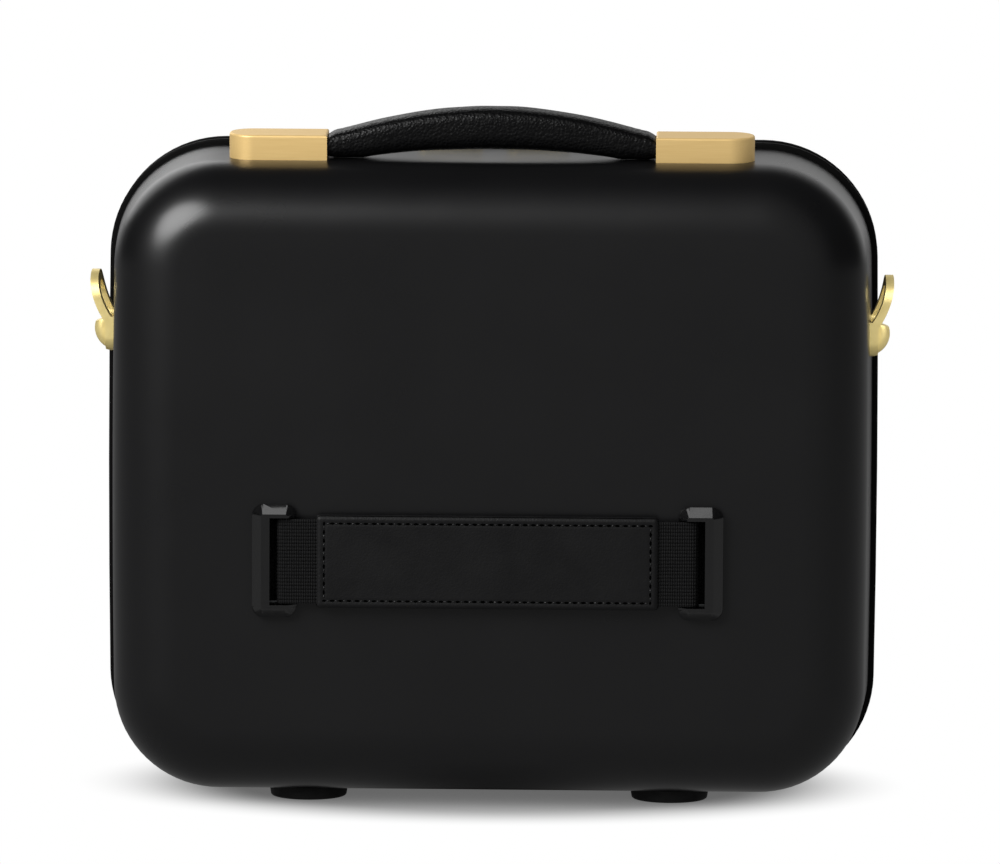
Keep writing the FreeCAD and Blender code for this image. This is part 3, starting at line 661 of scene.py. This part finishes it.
def cutSlot(piece, side):
    low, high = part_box("strap_anchor_right")
    near, far = shell["slotFromAnchorEnd"]
    place = (side * (high.x - middle(near, far)), low.y, middle(low.z, high.z))
    cutter = added(bpy.ops.mesh.primitive_cube_add, size=1, location=place)
    # four times the anchor's depth takes it right through the wall
    cutter.scale = (far - near, 4 * (high.y - low.y), 2 * shell["slotHalfHeight"])
    bpy.ops.object.transform_apply(location=True, rotation=True, scale=True)
    useModifier(piece, "BOOLEAN", object=cutter, operation="DIFFERENCE", solver="EXACT")
    bpy.data.objects.remove(cutter)


def shellHalf(half, body, facing):
    rings = ringPlaces(shellRings(), shell["columns"])

    def place(u, v):
        point, depth, scale = rings[round(v * (len(rings) - 1))][round(u * shell["columns"])]
        z = midZ + (point.z - midZ) * scale
        return Vector((point.x * scale, partingY + facing * depth, z))

    piece = mappedGrid(half + "_moulded_shell", shell["columns"], len(rings) - 1, place)
    inEditMode(piece, weld, faceOutwards)
    useModifier(piece, "SOLIDIFY", thickness=shell["wall"], offset=-1.0, use_even_offset=True)
    if facing < 0:
        cutSlot(piece, -1)
        cutSlot(piece, 1)
    settle(piece, shellPlastic, body, 35)
    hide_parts(half + "_shell")


shellHalf("back", "base", -1)
shellHalf("front", "lid", 1)
print("shells modelled")


# Padded grip: pebbled leather drawn over foam, arched between the caps, sewn along its lower edges.
# It is worked out square to the shell's top, then leans with it.
grip = {
    "columns": 120,
    "rows": 48,
    "seatY": -41.7 * mm,
    "seatZ": 290.05 * mm,
    "halfSpan": 73.7 * mm,
    "insert": 8.6 * mm,
    "width": 20.3 * mm,
    "endUnderside": 0.9 * mm,
    "endTop": 9.5 * mm,
    "middleUnderside": 4.4 * mm,
    "middleTop": 23.3 * mm,
    "underSpan": 57.0 * mm,
    "underPower": 0.8,
    "topPower": 1.15,
    "shoulder": 1.7 * mm,
    "underShoulder": 0.4,
    "shoulderReach": 2.4 * mm,
    "upperRound": 3.8,
    "lowerRound": 2.6,
    "seamHeight": 0.55 * mm,
    "seamAngle": math.radians(-42),
    "seamWidth": 0.16,
    "lumpSize": 3.5 * mm,
    "foldHeight": 0.30 * mm,
    "foldPitch": 3.4 * mm,
    "foldReach": 10.0 * mm,
    "foldWander": 2.5,
    "wanderSize": 6 * mm,
    "leftFolds": 0.5,
    "unevenness": 0.18 * mm,
    "unevenSize": 13 * mm,
    "freeFrom": 3 * mm,
    "heldEnd": 4 * mm,
    "pressure": 1.5,
    "frames": 14,
    "mostSwell": 0.5 * mm,
}


def leanWithTop(point):
    lean = caseShape["draft"]
    y = point.y * math.cos(lean) - point.z * math.sin(lean)
    z = point.y * math.sin(lean) + point.z * math.cos(lean)
    return Vector((point.x, grip["seatY"] + y, grip["seatZ"] + z))


def superRound(value, power):
    return math.copysign(abs(value) ** (2 / power), value)


def gripPoint(u, v):
    reach = grip["halfSpan"] + grip["insert"]
    x = mixed(-reach, reach, u)
    angle = -math.pi / 2 + 2 * math.pi * v
    fromEnd = grip["halfSpan"] - abs(x)
    arch = max(0.0, 1 - (x / grip["halfSpan"]) ** 2) ** grip["topPower"]
    lift = max(0.0, 1 - (x / grip["underSpan"]) ** 2) ** grip["underPower"]
    under = mixed(grip["endUnderside"], grip["middleUnderside"], lift)
    crest = mixed(grip["endTop"], grip["middleTop"], arch)
    if fromEnd > 0:
        full = 1 - bell(fromEnd, grip["shoulderReach"] / 2)
        crest += grip["shoulder"] * full * (1 - arch)
        under -= grip["underShoulder"] * grip["shoulder"] * full * (1 - lift)
    power = grip["upperRound"] if math.sin(angle) > 0 else grip["lowerRound"]
    y = grip["width"] / 2 * superRound(math.cos(angle), power)
    z = middle(under, crest) + (crest - under) / 2 * superRound(math.sin(angle), power)
    if fromEnd > 0:
        free = min(1.0, fromEnd / grip["freeFrom"])
        turn = abs(math.atan2(math.sin(angle), abs(math.cos(angle))) - grip["seamAngle"])
        lumps = 0.65 + 0.5 * noise.noise(Vector((x / grip["lumpSize"], math.copysign(7, y), 0)))
        swell = grip["seamHeight"] * lumps * bell(turn, grip["seamWidth"]) * free
        wander = grip["foldWander"] * noise.noise(Vector((y, z, x)) / grip["wanderSize"])
        wave = math.sin(2 * math.pi * fromEnd / grip["foldPitch"] + wander)
        share = 1.0 if x > 0 else grip["leftFolds"]
        swell += grip["foldHeight"] * wave * bell(fromEnd, grip["foldReach"]) * free * share
        swell += grip["unevenness"] * noise.noise(Vector((x, y, z)) / grip["unevenSize"]) * free
        outward = Vector((0, math.cos(angle), math.sin(angle)))
        y += outward.y * swell
        z += outward.z * swell
    return leanWithTop(Vector((x, y, z)))


# A short run of cloth under pressure fills a piece out; no point moves further than the given limit
clothRun = {"quality": 5, "mass": 0.4, "stiffness": 25, "bending": 3.0}


def inflate(piece, held, pressure, frames, most):
    before = [vertex.co.copy() for vertex in piece.data.vertices]
    group = piece.vertex_groups.new(name="held")
    group.add([v.index for v in piece.data.vertices if held(v.co)], 1.0, "REPLACE")
    pick(piece)
    modifier = piece.modifiers.new("cloth", "CLOTH")
    cloth = modifier.settings
    cloth.quality = clothRun["quality"]
    cloth.mass = clothRun["mass"]
    cloth.tension_stiffness = clothRun["stiffness"]
    cloth.compression_stiffness = clothRun["stiffness"]
    cloth.bending_stiffness = clothRun["bending"]
    cloth.use_pressure = True
    cloth.uniform_pressure_force = pressure
    cloth.effector_weights.gravity = 0
    cloth.vertex_group_mass = "held"
    modifier.point_cache.frame_start = 1
    modifier.point_cache.frame_end = frames
    for step in range(1, frames + 1):
        bpy.context.scene.frame_set(step)
    bpy.ops.object.modifier_apply(modifier=modifier.name)
    bpy.context.scene.frame_set(1)
    for vertex, old in zip(piece.data.vertices, before):
        move = vertex.co - old
        if move.length > most:
            vertex.co = old + move * (most / move.length)


def paddedGrip():
    piece = mappedGrid("grip_leather", grip["columns"], grip["rows"], gripPoint)
    inEditMode(piece, weld, closeEnds, faceOutwards)
    inflate(piece, lambda p: abs(p.x) > grip["halfSpan"] - grip["heldEnd"], grip["pressure"],
            grip["frames"], grip["mostSwell"])
    useModifier(piece, "SUBSURF", levels=1)
    settle(piece, gripLeather, "base", 80)
    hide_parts("handle_grip")


paddedGrip()
print("grip modelled")


# Trolley strap: ribbed elastic that comes out of one anchor's slot and goes into the other's
webbing = {
    "columns": 170,
    "ribs": 24,
    "rowsPerRib": 5,
    "ribHeight": 0.34 * mm,
    "thickness": 0.75 * mm,
    "slotFromAnchorEnd": 11.6 * mm,
    "bendRadius": 2.2 * mm,
    "tailRadius": 1.2 * mm,
    "tail": 9.0 * mm,
    "seat": 0.7 * mm,
    "ribPower": 0.7,
    "selvedge": 0.6 * mm,
    "selvedgeLevel": -0.3,
    "unevenness": 0.12 * mm,
    "unevenSize": 22 * mm,
}


def strapElasticPiece():
    low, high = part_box("strap_webbing")
    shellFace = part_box("back_shell")[0].y
    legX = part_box("strap_anchor_right")[1].x - webbing["slotFromAnchorEnd"]
    runY = low.y + webbing["seat"]
    tailY = shellFace + shell["wall"] + webbing["seat"]
    outer, inner = webbing["bendRadius"], webbing["tailRadius"]
    tail = webbing["tail"]
    tailTurn = inner * math.pi / 2
    leg = tailY - inner - runY - outer
    runTurn = outer * math.pi / 2
    total = 2 * (tail + tailTurn + leg + runTurn + legX - outer)

    # place and outward direction at a length along the strap, from the tail behind the left slot
    def along(s):
        if s < tail:
            return Vector((-legX - inner - tail + s, tailY, 0)), outOfBack.copy()
        s -= tail
        if s < tailTurn:
            outward = Vector((-math.sin(s / inner), -math.cos(s / inner), 0))
            return Vector((-legX - inner, tailY - inner, 0)) - outward * inner, outward
        s -= tailTurn
        if s < leg:
            return Vector((-legX, tailY - inner - s, 0)), Vector((-1, 0, 0))
        s -= leg
        if s < runTurn:
            outward = Vector((-math.cos(s / outer), -math.sin(s / outer), 0))
            return Vector((-legX + outer, runY + outer, 0)) + outward * outer, outward
        return Vector((-legX + outer + s - runTurn, runY, 0)), outOfBack.copy()

    def place(u, v):
        s = u * total
        point, outward = along(min(s, total - s))
        if s > total / 2:
            point.x = -point.x
            outward.x = -outward.x
        edge = min(v, 1 - v) * (high.z - low.z)
        rib = abs(math.sin(math.pi * webbing["ribs"] * v)) ** webbing["ribPower"] - 0.5
        rib = rib if edge > webbing["selvedge"] else webbing["selvedgeLevel"]
        wave = webbing["unevenness"] * noise.noise(Vector((s / webbing["unevenSize"], v * 3, 0)))
        point += outward * (webbing["ribHeight"] * rib + wave)
        point.z = mixed(low.z, high.z, v)
        return point

    piece = mappedGrid("strap_elastic", webbing["columns"], webbing["ribs"] * webbing["rowsPerRib"], place)
    useModifier(piece, "SOLIDIFY", thickness=webbing["thickness"], offset=0.0)
    settle(piece, strapElastic, "base", 80)
    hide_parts("strap_webbing")


strapElasticPiece()
print("strap modelled")


# Leather patch sewn round the middle of the strap, with turned edges and one row of stitches
patch = {
    "columns": 190,
    "rows": 52,
    "thickness": 0.8 * mm,
    "edgeRound": 0.6 * mm,
    "weltPlace": 1.7 * mm,
    "weltWidth": 0.8 * mm,
    "weltHeight": 0.06 * mm,
    "unevenness": 0.08 * mm,
    "unevenSize": 17 * mm,
    "stitchInset": 3.1 * mm,
    "frameStitchInset": 8.0 * mm,
    "stitchGroove": 0.2 * mm,
    "grooveWidth": 0.45 * mm,
    "stitchPitch": 3.7 * mm,
    "stitchLength": 1.6 * mm,
    "stitchDip": 0.9,
    "threadRadius": 0.34 * mm,
    "threadLift": 0.12 * mm,
    "holeRadius": 0.58 * mm,
    "holeStretch": 1.9,
    "holeFlatness": 0.4,
    "cornerRadius": 1.2 * mm,
}


def patchPiece(node, facing):
    low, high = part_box(node)
    front = low.y if facing < 0 else high.y
    corner = patch["cornerRadius"]

    def place(u, v):
        x = mixed(low.x, high.x, u)
        z = mixed(low.z, high.z, v)
        edge = min(x - low.x, high.x - x, z - low.z, high.z - z)
        drop = 0.0
        if edge < patch["edgeRound"]:
            drop = patch["edgeRound"] * (1 - math.sqrt(1 - (1 - edge / patch["edgeRound"]) ** 2))
        drop -= patch["weltHeight"] * bell(edge - patch["weltPlace"], patch["weltWidth"])
        drop += patch["stitchGroove"] * bell(edge - patch["stitchInset"], patch["grooveWidth"])
        drop += patch["unevenness"] * (1 + noise.noise(Vector((x, z, 0)) / patch["unevenSize"]))
        cornerX = max(0, corner - (x - low.x), corner - (high.x - x))
        cornerZ = max(0, corner - (z - low.z), corner - (high.z - z))
        beyond = math.hypot(cornerX, cornerZ)
        if beyond > corner:
            pull = 1 - corner / beyond
            x += math.copysign(cornerX * pull, -x)
            z += math.copysign(cornerZ * pull, middle(low.z, high.z) - z)
        return Vector((x, front - facing * drop, z))

    piece = mappedGrid(node.replace("strap_", "") + "_leather", patch["columns"], patch["rows"], place)
    if facing > 0:
        inEditMode(piece, bpy.ops.mesh.flip_normals)
    useModifier(piece, "SOLIDIFY", thickness=patch["thickness"], offset=-1.0 if facing < 0 else 1.0)
    settle(piece, patchLeather, "base", 80)
    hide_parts(node)


# One stitch: a short thread that dips into the leather at both ends, along X, with its top at +Z
def oneStitch():
    length, radius = patch["stitchLength"], patch["threadRadius"]
    stitch = added(bpy.ops.mesh.primitive_uv_sphere_add, segments=10, ring_count=8, radius=1)
    for vertex in stitch.data.vertices:
        share = vertex.co.z
        dip = patch["stitchDip"] * radius * share ** 2
        vertex.co = Vector((share * length / 2, vertex.co.x * radius, vertex.co.y * radius - dip))
    return stitch


# A flattened black blob in the stitch groove: painted shade standing in for the dark inside a needle hole
def holeShadeBlob():
    hole = added(bpy.ops.mesh.primitive_uv_sphere_add, segments=10, ring_count=6, radius=patch["holeRadius"])
    for vertex in hole.data.vertices:
        x, y, z = vertex.co
        vertex.co = Vector((x * patch["holeStretch"], y, z * patch["holeFlatness"]))
    return hole


# Places along the sides of an upright rectangle, for stitches or the holes between them
def sewnRectangle(x0, x1, z0, z1, y, shift):
    corners = [Vector((x0, y, z0)), Vector((x1, y, z0)), Vector((x1, y, z1)), Vector((x0, y, z1))]
    places = []
    for a, b in zip(corners, corners[1:] + corners[:1]):
        count = round((b - a).length / patch["stitchPitch"])
        along = (b - a).normalized()
        for i in range(count):
            places.append((mixed(a, b, (i + shift) / count), along, outOfBack))
    return places


def sewRow(name, low, high, y, inset, body):
    box = (low.x + inset, high.x - inset, low.z + inset, high.z - inset)
    threads = strew(name + "_stitches", oneStitch(), sewnRectangle(*box, y - patch["threadLift"], 0.5))
    settle(threads, threadNylon, body, 80)
    # between the threads, black blobs of painted shade mark the needle holes
    holes = strew(name + "_needle_hole_shade", holeShadeBlob(), sewnRectangle(*box, y, 0.0))
    settle(holes, paintedHoleShade, body, 80)


patchPiece("strap_patch_front", -1)
patchPiece("strap_patch_back", 1)
patchLow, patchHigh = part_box("strap_patch_front")
grooveY = patchLow.y + patch["stitchGroove"]
sewRow("patch", patchLow, patchHigh, grooveY, patch["stitchInset"], "base")
frameLow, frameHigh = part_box("mirror_frame")
sewRow("mirror_frame", frameLow, frameHigh, frameLow.y, patch["frameStitchInset"], "lid")
print("patches and stitches modelled")


# Zip: woven tape and nylon teeth on each half, from one end of the hinge tape to the other
zipper = {
    "tapeInset": 1.0 * mm,
    "tapeThickness": 0.5 * mm,
    "chainNear": 0.46 * mm,
    "chainFar": 2.0 * mm,
    "beadNear": 4.5 * mm,
    "beadGap": 0.02 * mm,
    "tapeNear": 0.04 * mm,
    "tapeHidden": 8 * mm,
    "tapeShown": 0.46,
    "endRise": 6.0 * mm,
    "toothPitch": 2.1 * mm,
    "toothLength": 1.15 * mm,
    "toothHeight": 2.1 * mm,
    "toothRound": 0.42 * mm,
    "columns": 320,
    "samples": 2000,
}
zipLine = caseOutline(zipper["tapeInset"])


# Length along the zip's line, from the top middle, at which it comes down to the hinge tape
def zipEnd():
    places = walk(zipLine, zipper["samples"])
    lowest = caseShape["floorGap"] + zipper["endRise"]
    below = [i for i, (point, along) in enumerate(places) if point.z < lowest]
    return outlineLength(zipLine) * below[0] / (len(places) - 1)


zipReach = zipEnd()
wholeZip = outlineLength(zipLine)


def zipPlaces(count):
    half = walk(zipLine, count, 0, zipReach)
    other = [(Vector((-p.x, 0, p.z)), Vector((a.x, 0, -a.z))) for p, a in reversed(half[1:])]
    return other + half


def oneTooth():
    tooth = added(bpy.ops.mesh.primitive_cube_add, size=1)
    width = zipper["chainFar"] - zipper["chainNear"]
    tooth.scale = (zipper["toothLength"], width, zipper["toothHeight"])
    bpy.ops.object.transform_apply(location=False, rotation=False, scale=True)
    useModifier(tooth, "BEVEL", width=zipper["toothRound"], segments=2)
    return tooth


def zipHalf(half, body, facing):
    count = round(2 * zipReach / zipper["toothPitch"])
    chainMiddle = middle(zipper["chainNear"], zipper["chainFar"])
    places = []
    for point, along in zipPlaces(count // 2):
        lift = Vector((-along.z, 0, along.x))
        places.append((point + Vector((0, partingY + facing * chainMiddle, 0)), along, lift))
    teeth = strew(half + "_zip_teeth", oneTooth(), places)
    settle(teeth, coilNylon, body, 50)
    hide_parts(half + "_zip_chain")
    line = zipPlaces(zipper["columns"] // 2 + 1)

    def place(u, v):
        point, along = line[round(u * (len(line) - 1))]
        y = mixed(zipper["tapeNear"], zipper["beadNear"] - zipper["beadGap"], v)
        return point + Vector((0, partingY + facing * y, 0))

    tape = mappedGrid(half + "_zip_cloth", len(line) - 1, 4, place)
    useModifier(tape, "SOLIDIFY", thickness=zipper["tapeThickness"], offset=0.0)
    settle(tape, tapeCloth, body, 60)
    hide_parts(half + "_zip_tape")


zipHalf("back", "base", -1)
zipHalf("front", "lid", 1)
print("zip modelled")


# Hinge tape: one woven strip along the bottom, sewn to both rims
hinge = {"columns": 160, "rows": 12, "thickness": 0.6 * mm, "turnIn": 3 * mm}


def hingeTape():
    line = walk(zipLine, hinge["columns"] + 1, zipReach, wholeZip - zipReach)
    reach = zipper["beadNear"] - zipper["beadGap"]

    def place(u, v):
        point = line[round(u * hinge["columns"])][0]
        return point + Vector((0, partingY + mixed(-reach, reach, v), 0))

    piece = mappedGrid("hinge_cloth", hinge["columns"], hinge["rows"], place)
    useModifier(piece, "SOLIDIFY", thickness=hinge["thickness"], offset=0.0)
    settle(piece, tapeCloth, None, 60)
    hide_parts("hinge_tape")
    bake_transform(piece)


hingeTape()
print("hinge tape modelled")


# Lining: a cloth tray in each half, turned over its rim, with a piping cord sewn along the turn
lining = {
    "columns": 260,
    "flangeDepth": 8.0 * mm,
    "flangeInset": 3.4 * mm,
    "skin": 7.3 * mm,
    "turnInset": 6.3 * mm,
    "wallFrom": 8.8 * mm,
    "faceRound": 27.0 * mm,
    "wallRows": 10,
    "roundRows": 8,
    "faceRows": 16,
    "thickness": 0.7 * mm,
    "slack": 0.7 * mm,
    "slackSize": 32 * mm,
    "flat": (0.48, 0.42),
    "pipingInset": 6.7 * mm,
    "pipingDepth": 8.2 * mm,
    "pipingRadius": 1.3 * mm,
}


def liningRings():
    taper = math.tan(caseShape["draft"])
    fold = lining["faceRound"] - lining["skin"]
    faceDepth = shell["depth"] - lining["skin"]
    rings = [(lining["flangeDepth"], lining["flangeInset"], 1.0),
             (lining["flangeDepth"], lining["turnInset"], 1.0)]
    for i in range(lining["wallRows"]):
        depth = mixed(lining["wallFrom"], faceDepth - fold, i / (lining["wallRows"] - 1))
        rings.append((depth, lining["skin"] + depth * taper, 1.0))
    for i in range(1, lining["roundRows"] + 1):
        turn = math.pi / 2 * i / lining["roundRows"]
        depth = faceDepth - fold + fold * math.sin(turn)
        rings.append((depth, lining["skin"] + depth * taper + fold * (1 - math.cos(turn)), 1.0))
    depth, inset, scale = rings[-1]
    for i in range(1, lining["faceRows"] + 1):
        rings.append((depth, inset, 1 - i / lining["faceRows"]))
    return rings


def liningHalf(half, body, facing):
    rings = ringPlaces(liningRings(), lining["columns"])

    def place(u, v):
        point, depth, scale = rings[round(v * (len(rings) - 1))][round(u * lining["columns"])]
        x = point.x * scale
        z = midZ + (point.z - midZ) * scale
        slack = lining["slack"] * (0.5 + noise.noise(Vector((x, depth, z)) / lining["slackSize"]))
        shrink = 1 - max(0.0, slack) / caseShape["halfWidth"]
        y = depth - (max(0.0, slack) if scale < 1 else 0.0)
        return Vector((x * shrink, partingY + facing * y, midZ + (z - midZ) * shrink))

    piece = mappedGrid(half + "_lining_cloth", lining["columns"], len(rings) - 1, place)
    inEditMode(piece, weld)
    useModifier(piece, "SOLIDIFY", thickness=lining["thickness"], offset=0.0)
    settle(piece, innerCloth, body, 60)
    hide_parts(half + "_lining")
    seam = walk(caseOutline(lining["pipingInset"]), lining["columns"] + 1)

    def pipe(u, v):
        point, along = seam[round(u * lining["columns"])]
        out = Vector((-along.z, 0, along.x))
        turn = 2 * math.pi * v
        lift = out * math.cos(turn) * lining["pipingRadius"]
        y = lining["pipingDepth"] + lining["pipingRadius"] * math.sin(turn)
        return point + lift + Vector((0, partingY + facing * y, 0))

    piping = mappedGrid(half + "_lining_piping", lining["columns"], 10, pipe)
    inEditMode(piping, weld)
    settle(piping, patchLeather, body, 80)


liningHalf("back", "base", -1)
liningHalf("front", "lid", 1)
print("linings modelled")


# Pocket on the back wall of the base: gathered cloth under an elastic hem
pocket = {
    "columns": 150,
    "rows": 44,
    "folds": 26,
    "foldHeight": 1.5 * mm,
    "foldWander": 1.6,
    "belly": 3.0 * mm,
    "bellyPower": 0.7,
    "hemHeight": 10.0 * mm,
    "hemLift": 1.2 * mm,
    "hemFoldHeight": 0.5 * mm,
    "hemFolds": 3,
    "wallGap": 0.6 * mm,
    "sewnEdge": 3 * mm,
    "heldSides": 14,
    "heldFoot": 6,
    "thickness": 0.5 * mm,
    "stretch": 1.25,
    "pressure": 0.6,
    "frames": 16,
    "mostMove": 2.5 * mm,
}


def gatheredPocket():
    low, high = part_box("pocket")
    wall = low.y + pocket["wallGap"]
    hemFrom = 1 - pocket["hemHeight"] / (high.z - low.z)
    hemZ = mixed(low.z, high.z, hemFrom)

    def place(u, v):
        x = mixed(low.x, high.x, u)
        z = mixed(low.z, high.z, v)
        held = min(1.0, min(u, 1 - u) * pocket["heldSides"]) * min(1.0, v * pocket["heldFoot"])
        wander = pocket["foldWander"] * noise.noise(Vector((u * 9, v * 1.3, 0)))
        fold = math.sin(2 * math.pi * pocket["folds"] * u + wander)
        belly = math.sin(math.pi * min(1.0, v / hemFrom)) ** pocket["bellyPower"]
        height = pocket["belly"] * belly + pocket["foldHeight"] * (1 + fold)
        if v > hemFrom:
            fold = math.sin(2 * math.pi * pocket["folds"] * pocket["hemFolds"] * u)
            height = pocket["hemLift"] + pocket["hemFoldHeight"] * (1 + fold)
        return Vector((x, wall + height * held, z))

    def sewnDown(p):
        edge = pocket["sewnEdge"]
        return p.z > hemZ or p.z < low.z + edge or abs(p.x) > high.x - edge

    piece = mappedGrid("pocket_cloth", pocket["columns"], pocket["rows"], place)
    inflate(piece, sewnDown, pocket["pressure"], pocket["frames"], pocket["mostMove"])
    for vertex in piece.data.vertices:
        vertex.co.y = max(vertex.co.y, wall)
    useModifier(piece, "SOLIDIFY", thickness=pocket["thickness"], offset=0.0)
    useModifier(piece, "SUBSURF", levels=1)
    settle(piece, innerCloth, "base", 80)
    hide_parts("pocket")


gatheredPocket()
print("pocket modelled")
